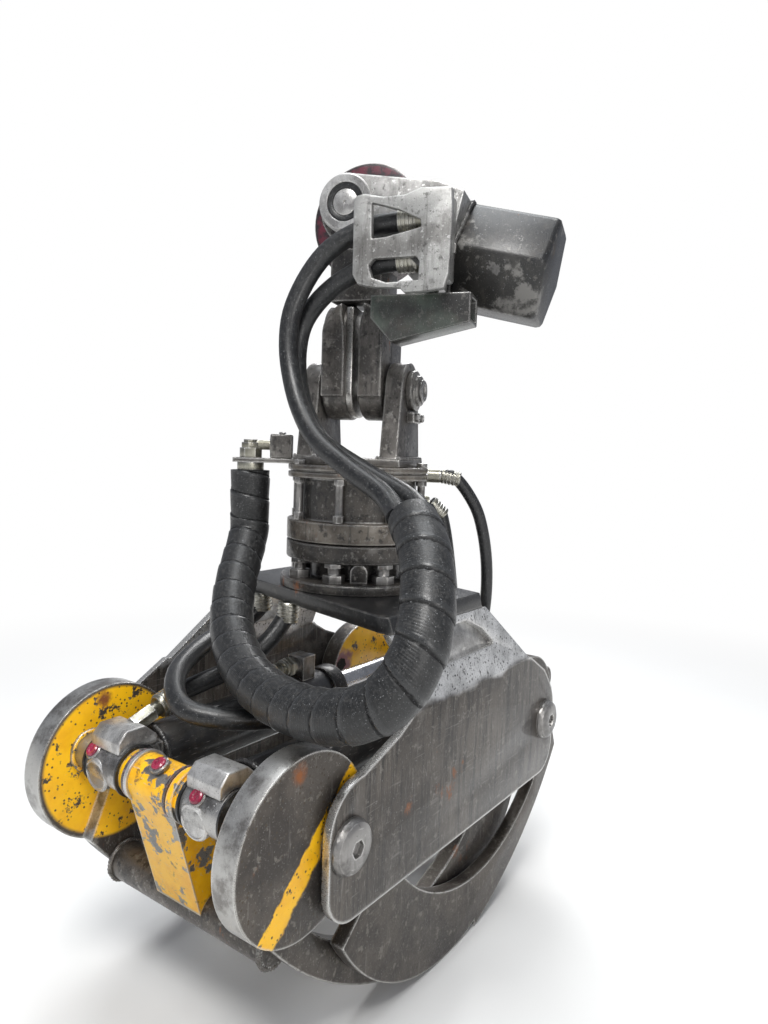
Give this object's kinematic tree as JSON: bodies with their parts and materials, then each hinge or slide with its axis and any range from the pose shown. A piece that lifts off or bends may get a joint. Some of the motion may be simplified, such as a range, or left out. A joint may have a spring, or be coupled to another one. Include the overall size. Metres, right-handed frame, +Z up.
{
  "type": "timber grapple with rotator, swing link and boom tip",
  "caption": "Timber grapple hanging by a rotator and swing link from a loader crane's boom tip, with hoses and a twin-cylinder claw linkage.",
  "frame": {"origin": "middle of the boom tube's end face, where the boom tip joins the rest of the boom", "axes": "+Z up, +X from the inner claw's pivot to the outer claw's, +Y from the near side plate to the far one; the boom tube's end faces along its own line, turned 17.8 degrees from -Y and dipping 13 degrees"},
  "size_m": [0.971, 0.6839, 1.377],
  "materials": {
    "black_paint": "worn satin paint",
    "worn_steel": "brown-grey paint worn down to steel",
    "yellow_paint": "chipped gloss paint",
    "forged_steel": "bare forged steel, wet",
    "zinc": "zinc plated",
    "green_paint": "matt paint",
    "red_paint": "worn paint",
    "rod_chrome": "hard chrome",
    "rubber": "satin hose cover"
  },
  "bodies": {
    "boom_tip": {"tip_fork": "black_paint", "tip_tube": "black_paint", "hose_guard": "black_paint", "guard_fittings": "zinc", "hose_chute": "green_paint", "upper_pin": "forged_steel"},
    "link": {"link_body": "black_paint", "brake_drum": "red_paint", "link_cheeks": "black_paint", "main_hoses": "rubber"},
    "stator": {"lower_pin": "forged_steel", "pin_caps": "black_paint", "yoke": "black_paint", "stator_flange": "worn_steel", "stator_body": "worn_steel", "stator_ring": "worn_steel", "tie_bolts": "forged_steel", "hose_bracket": "black_paint", "manifold": "black_paint", "drop_fittings": "zinc", "thin_fittings": "zinc", "thin_hose": "rubber", "hose_wrap": "rubber"},
    "grapple_frame": {"rotor": "worn_steel", "mounting_bolts": "forged_steel", "port_plug": "worn_steel", "top_plate": "black_paint", "side_plates": "worn_steel", "pocket_liners": "forged_steel", "pivot_pins": "forged_steel", "cylinder_hoses": "rubber"},
    "outer_claw": {"outer_arms": "worn_steel", "outer_crossbar": "worn_steel", "outer_crank": "yellow_paint", "outer_sleeves": "forged_steel"},
    "inner_claw": {"inner_arms": "worn_steel", "inner_crossbar": "worn_steel", "inner_blade": "worn_steel", "inner_crank": "yellow_paint", "inner_sleeves": "yellow_paint", "inner_crank_pin": "forged_steel", "crank_seals": "rubber"},
    "barrels": {"barrels": "black_paint", "glands": "worn_steel", "port_blocks": "forged_steel", "rod_end_ports": "forged_steel", "hose_ferrules": "zinc"},
    "rods": {"rods": "rod_chrome", "rod_eyes": "forged_steel"}
  },
  "joints": [
    {"name": "link_swing", "type": "hinge", "parent": "boom_tip", "child": "link", "pos_m": [-0.10205, 0.31785, 0.10991], "axis": [0.9521, 0.3057, 0], "range_deg": [-18, 50], "deforming": ["main_hoses"]},
    {"name": "rotator_swing", "type": "hinge", "parent": "link", "child": "stator", "pos_m": [-0.10205, 0.31785, -0.19309], "axis": [0.3057, -0.9521, 0], "range_deg": [-35, 35]},
    {"name": "rotator_turn", "type": "hinge", "parent": "stator", "child": "grapple_frame", "pos_m": [-0.10205, 0.31785, -0.43809], "axis": [0, 0, 1], "continuous": true, "deforming": ["hose_wrap", "thin_hose"]},
    {"name": "claw_open", "type": "hinge", "parent": "grapple_frame", "child": "outer_claw", "pos_m": [0.21795, 0.31785, -0.83809], "axis": [0, -1, 0], "range_deg": [0, 92], "deforming": ["cylinder_hoses"]},
    {"name": "inner_claw_open", "type": "hinge", "parent": "grapple_frame", "child": "inner_claw", "pos_m": [-0.42205, 0.31785, -0.83809], "axis": [0, 1, 0], "range_deg": [0, 92]},
    {"name": "barrel_pivot", "type": "hinge", "parent": "inner_claw", "child": "barrels", "pos_m": [-0.52705, 0.31785, -0.79109], "axis": [0, 1, 0], "range_deg": [-92, 0]},
    {"name": "rod_stroke", "type": "slide", "parent": "barrels", "child": "rods", "axis": [1, 0, 0], "range_m": [-0.31127, 0]}
  ],
  "couplings": [
    {"joint": "inner_claw_open", "follows": "claw_open", "ratio": 1},
    {"joint": "barrel_pivot", "follows": "claw_open", "ratio": -1},
    {"joint": "rod_stroke", "follows": "claw_open", "m_per_rad": -0.19385}
  ]
}
